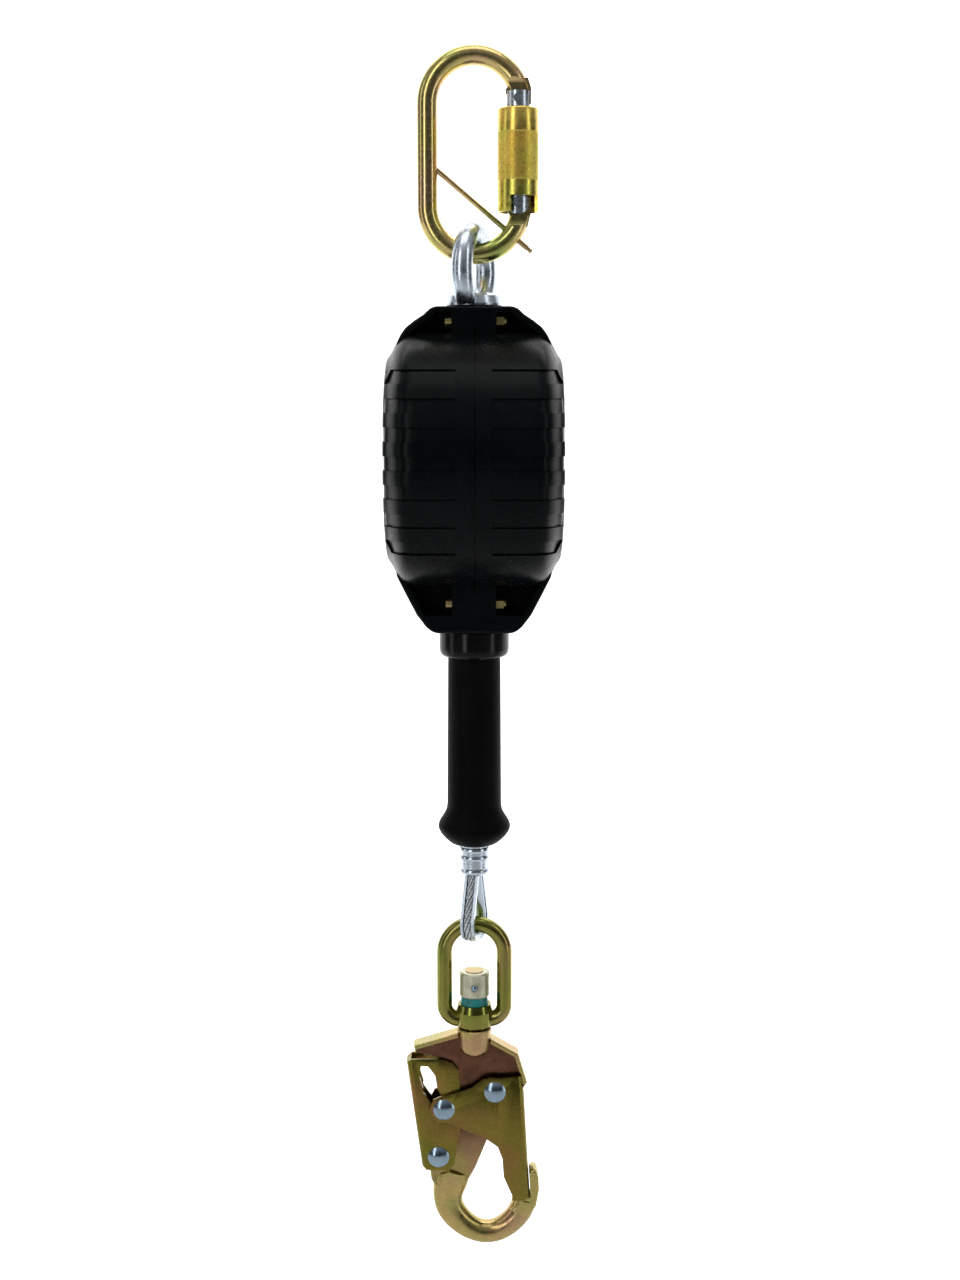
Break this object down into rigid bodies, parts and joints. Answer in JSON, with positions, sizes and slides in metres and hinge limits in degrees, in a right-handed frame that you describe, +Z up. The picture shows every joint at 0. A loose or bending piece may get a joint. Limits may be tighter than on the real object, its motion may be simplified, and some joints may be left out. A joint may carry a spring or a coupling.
{
  "type": "self retracting lifeline",
  "caption": "Hanging self-retracting lifeline: oval twist-lock carabiner, swivel eye, black drum case, wire rope with rubber grip, swivel and double-action snap hook.",
  "frame": {"origin": "inner top of the anchor carabiner's bow, where it hangs from an anchor", "axes": "+Z up along the hanging line, X along the drum's axis, the front faces -Y"},
  "size_m": [0.092, 0.1368, 0.651],
  "materials": {
    "yellow_zinc": "yellow chromate zinc, satin to bright",
    "gold_sleeve": "yellow zinc over a diamond knurl",
    "bright_zinc": "bright bluish zinc plate",
    "pale_zinc": "pale zinc plate, fine cast surface",
    "wire_rope": "galvanised strands",
    "indicator": "teal moulded ring",
    "black_shell": "moulded, fine texture",
    "gloss_collar": "smooth moulded",
    "soft_grip": "matt soft rubber",
    "inner_plastic": "plain moulded",
    "brassed_screws": "bright",
    "inner_steel": "zinc plated",
    "spring_steel": "oiled spring steel",
    "bronze": "sintered bronze",
    "drum_alloy": "cast and turned",
    "friction_lining": "pressed lining"
  },
  "bodies": {
    "carabiner": {"carabiner_body": "yellow_zinc", "captive_pin": "yellow_zinc", "gate_hinge_rivet": "bright_zinc"},
    "carabiner_gate": {"carabiner_gate": "bright_zinc", "gate_latch_pin": "bright_zinc", "gate_spring": "spring_steel", "sleeve_spring": "spring_steel"},
    "lock_sleeve": {"lock_sleeve": "gold_sleeve"},
    "eye": {"anchor_eye": "bright_zinc", "eye_nut": "inner_steel", "eye_roll_pin": "inner_steel"},
    "housing": {"eye_bush": "bronze", "housing_left": "black_shell", "housing_right": "black_shell", "housing_bolts": "brassed_screws", "housing_nuts": "brassed_screws", "nozzle_collar": "gloss_collar", "cable_guide": "inner_plastic", "cable_lead": "wire_rope", "frame_plates": "inner_steel", "frame_bridge": "inner_steel", "frame_screws": "inner_steel", "frame_spacers": "inner_steel", "shaft_bushes": "bronze", "spring_case": "inner_steel", "spring_cover": "inner_steel", "power_spring": "spring_steel", "brake_back_plate": "inner_steel", "pressure_plate": "inner_steel", "disc_spring": "spring_steel", "brake_studs": "inner_steel"},
    "drum": {"drum": "drum_alloy", "main_shaft": "inner_steel", "shaft_clips": "inner_steel", "cable_pack": "wire_rope", "cable_anchor": "wire_rope", "spring_arbor": "inner_steel", "brake_hub": "inner_steel", "pawl_pins": "inner_steel", "pawl_springs": "spring_steel"},
    "ratchet": {"ratchet_ring": "inner_steel", "friction_pads": "friction_lining"},
    "pawl_a": {"pawl_a": "inner_steel"},
    "pawl_b": {"pawl_b": "inner_steel"},
    "line_end": {"grip_sleeve": "soft_grip", "grip_core": "inner_plastic", "cable_tail": "wire_rope", "swage_ferrule": "bright_zinc", "thimble": "bright_zinc"},
    "bail": {"swivel_bail": "yellow_zinc", "load_indicator": "indicator"},
    "hook": {"hook_body": "yellow_zinc", "swivel_nut": "pale_zinc", "nut_pin": "pale_zinc", "hook_rivets": "bright_zinc", "hook_gate_spring": "spring_steel", "lever_spring": "spring_steel"},
    "hook_gate": {"hook_gate": "yellow_zinc", "link_rivet": "bright_zinc"},
    "hook_lever": {"lock_lever": "yellow_zinc"}
  },
  "joints": [
    {"name": "carabiner_gate_hinge", "type": "hinge", "parent": "carabiner", "child": "carabiner_gate", "pos_m": [0.0226, 0, -0.0684], "axis": [0, -1, 0], "range_deg": [0, 22], "stiffness_Nm_per_rad": 0.3, "springref_deg": -28.65, "deforming": ["gate_spring"]},
    {"name": "lock_sleeve_turn", "type": "hinge", "parent": "carabiner_gate", "child": "lock_sleeve", "pos_m": [0.0226, 0, -0.047], "axis": [0, 0, -1], "range_deg": [0, 90], "stiffness_Nm_per_rad": 0.05, "springref_deg": -34.38, "deforming": ["sleeve_spring"]},
    {"name": "eye_swing", "type": "hinge", "parent": "carabiner", "child": "eye", "pos_m": [0, 0, -0.0943], "axis": [1, 0, 0], "range_deg": [-55, 55]},
    {"name": "housing_swivel", "type": "hinge", "parent": "eye", "child": "housing", "pos_m": [0, 0, -0.13], "axis": [0, 0, 1], "continuous": true},
    {"name": "line_out", "type": "slide", "parent": "housing", "child": "line_end", "axis": [0, 0, -1], "range_m": [0, 6.1], "stiffness_N_per_m": 2, "springref_m": -10},
    {"name": "drum_turn", "type": "hinge", "parent": "housing", "child": "drum", "pos_m": [0, 0, -0.2005], "axis": [1, 0, 0], "range_deg": [0, 9720.5], "deforming": ["power_spring"]},
    {"name": "brake_slip", "type": "hinge", "parent": "housing", "child": "ratchet", "pos_m": [0, 0, -0.2005], "axis": [1, 0, 0], "range_deg": [0, 360]},
    {"name": "pawl_a_swing", "type": "hinge", "parent": "drum", "child": "pawl_a", "pos_m": [0.03, 0, -0.1795], "axis": [-1, 0, 0], "range_deg": [0, 13], "stiffness_Nm_per_rad": 0.01, "springref_deg": -17.19},
    {"name": "pawl_b_swing", "type": "hinge", "parent": "drum", "child": "pawl_b", "pos_m": [0.03, 0, -0.2215], "axis": [-1, 0, 0], "range_deg": [0, 13], "stiffness_Nm_per_rad": 0.01, "springref_deg": -17.19},
    {"name": "bail_swing", "type": "hinge", "parent": "line_end", "child": "bail", "pos_m": [0, 0, -0.45425], "axis": [1, 0, 0], "range_deg": [-90, 90]},
    {"name": "hook_swivel", "type": "hinge", "parent": "bail", "child": "hook", "pos_m": [0, 0, -0.506], "axis": [0, 0, 1], "continuous": true},
    {"name": "hook_gate_swing", "type": "hinge", "parent": "hook", "child": "hook_gate", "pos_m": [0.0114, 0, -0.5485], "axis": [0, 1, 0], "range_deg": [0, 20], "stiffness_Nm_per_rad": 0.5, "springref_deg": -22.92, "deforming": ["hook_gate_spring"]},
    {"name": "lock_lever_swing", "type": "hinge", "parent": "hook", "child": "hook_lever", "pos_m": [-0.02, 0, -0.5874], "axis": [0, 1, 0], "range_deg": [0, 9.2], "stiffness_Nm_per_rad": 0.3, "springref_deg": -22.92, "deforming": ["lever_spring"]}
  ],
  "couplings": [
    {"joint": "drum_turn", "follows": "line_out", "rad_per_m": 27.811},
    {"joint": "lock_lever_swing", "follows": "hook_gate_swing", "ratio": 0.45}
  ]
}
